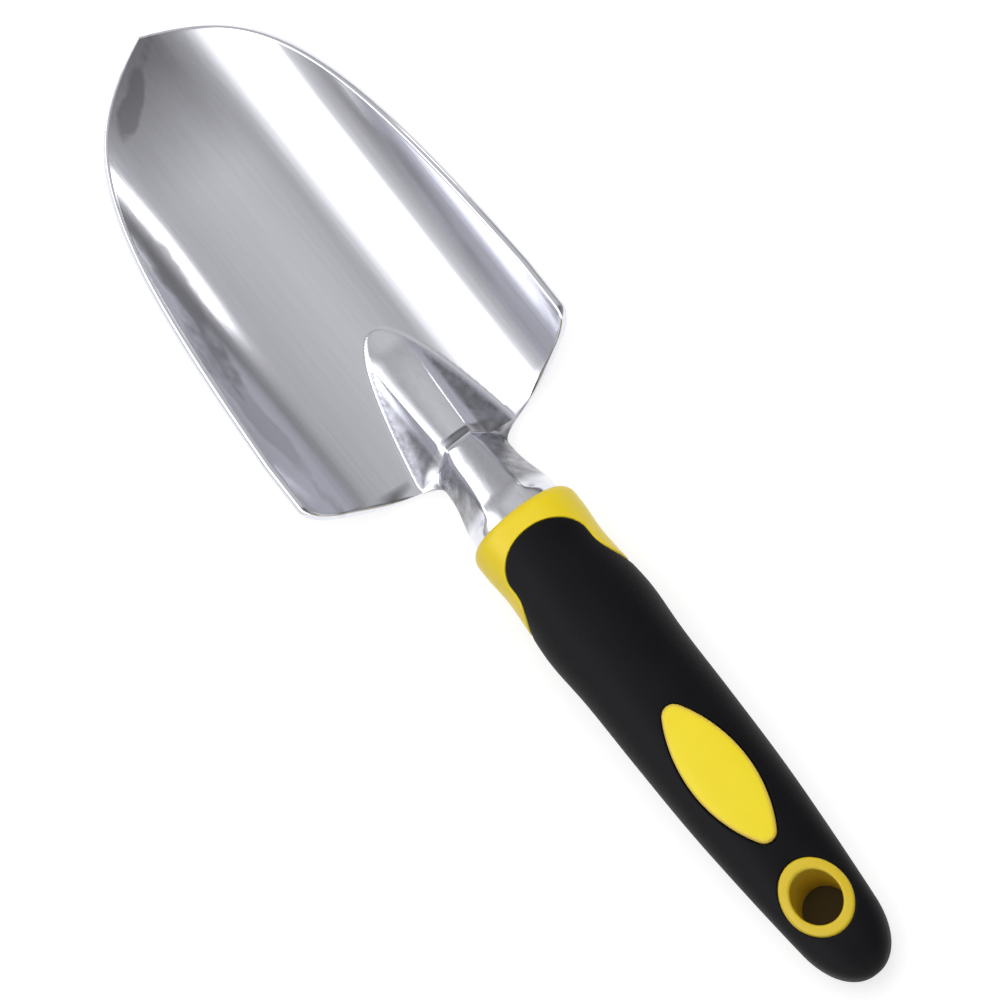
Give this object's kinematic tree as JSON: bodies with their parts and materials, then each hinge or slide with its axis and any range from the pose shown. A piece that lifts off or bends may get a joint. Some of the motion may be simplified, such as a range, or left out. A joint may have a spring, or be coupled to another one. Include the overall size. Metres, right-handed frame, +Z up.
{
  "type": "hand trowel",
  "caption": "Hand trowel: a deep pointed cast scoop with a ribbed floor and neck, in a moulded soft-grip handle with a thumb pad and a lined hanging hole.",
  "frame": {"origin": "centre of the bounding box's base, on the surface that the trowel lies on", "axes": "+Z up with the scoop open upwards, +Y along the tool towards the tip, X across"},
  "size_m": [0.0862, 0.32, 0.0327],
  "materials": {
    "polished_aluminium": "polished casting",
    "yellow_plastic": "moulded, satin",
    "black_rubber": "soft matte",
    "yellow_pad": "moulded, satin",
    "yellow_eyelet": "moulded, satin"
  },
  "bodies": {
    "root": {"trowel_head": "polished_aluminium", "handle_core": "yellow_plastic", "grip_sleeve": "black_rubber", "thumb_pad": "yellow_pad", "hang_eyelet": "yellow_eyelet"}
  },
  "joints": []
}
